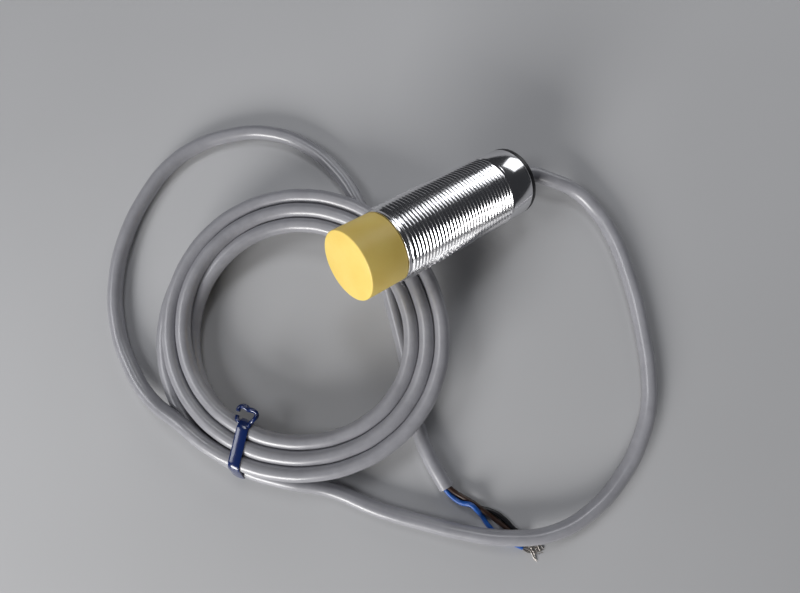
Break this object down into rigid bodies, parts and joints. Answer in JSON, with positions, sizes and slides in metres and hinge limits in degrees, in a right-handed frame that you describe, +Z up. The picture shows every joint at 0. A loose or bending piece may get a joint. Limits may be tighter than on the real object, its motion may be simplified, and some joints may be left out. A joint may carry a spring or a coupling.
{
  "type": "inductive proximity sensor",
  "caption": "Cylindrical proximity sensor with a threaded metal barrel, a protruding yellow sensing cap and a loosely coiled grey connection cable with stripped cores.",
  "frame": {"origin": "centre of the sensor's own footprint, on the table it lies on; the cable isn't counted", "axes": "+X along the sensor's footprint, towards the sensing face, which is tipped up; +Z up from the table"},
  "size_m": [0.1259, 0.1421, 0.0378],
  "materials": {
    "sensing_yellow": "fine moulded satin",
    "chrome": "bright plated, cut thread",
    "black_plastic": "satin",
    "rubber": "dull",
    "ferrite": "ground, matt",
    "natural_plastic": "natural, unpainted",
    "copper": "enamelled or bare copper",
    "board_green": "solder mask",
    "chip_black": "moulded epoxy",
    "chip_ceramic": "fired ceramic",
    "led_clear": "clear epoxy",
    "resin": "cast resin",
    "brass": "pressed",
    "cable_grey": "soft satin PVC",
    "core_brown": "smooth PVC insulation",
    "core_blue": "smooth PVC insulation",
    "core_black": "smooth PVC insulation",
    "tie_blue": "glossy dark blue plastic"
  },
  "bodies": {
    "root": {"sensing_cap": "sensing_yellow", "threaded_barrel": "chrome", "rear_plug": "black_plastic", "front_seal_ring": "rubber", "rear_seal_ring": "rubber", "ferrite_core": "ferrite", "coil_bobbin": "natural_plastic", "coil_winding": "copper", "core_carrier": "natural_plastic", "coil_lead_start": "copper", "coil_lead_end": "copper", "circuit_board": "board_green", "sensor_chip": "chip_black", "output_transistor": "chip_black", "protection_diode": "chip_black", "filter_capacitor": "chip_ceramic", "tuning_capacitor": "chip_ceramic", "resistor_1": "chip_black", "resistor_2": "chip_black", "resistor_3": "chip_black", "status_led": "led_clear", "inner_wire_brown": "core_brown", "inner_wire_blue": "core_blue", "inner_wire_black": "core_black", "strain_relief_sleeve": "rubber", "cable_clamp": "brass", "potting_resin": "resin", "inner_cable_jacket": "cable_grey", "cable_coil": "cable_grey", "cable_tie": "tie_blue", "cable_run": "cable_grey", "cable_tail": "cable_grey", "core_brown": "core_brown", "core_blue": "core_blue", "core_black": "core_black", "bare_end_brown": "copper", "bare_end_blue": "copper", "bare_end_black": "copper"}
  },
  "joints": []
}
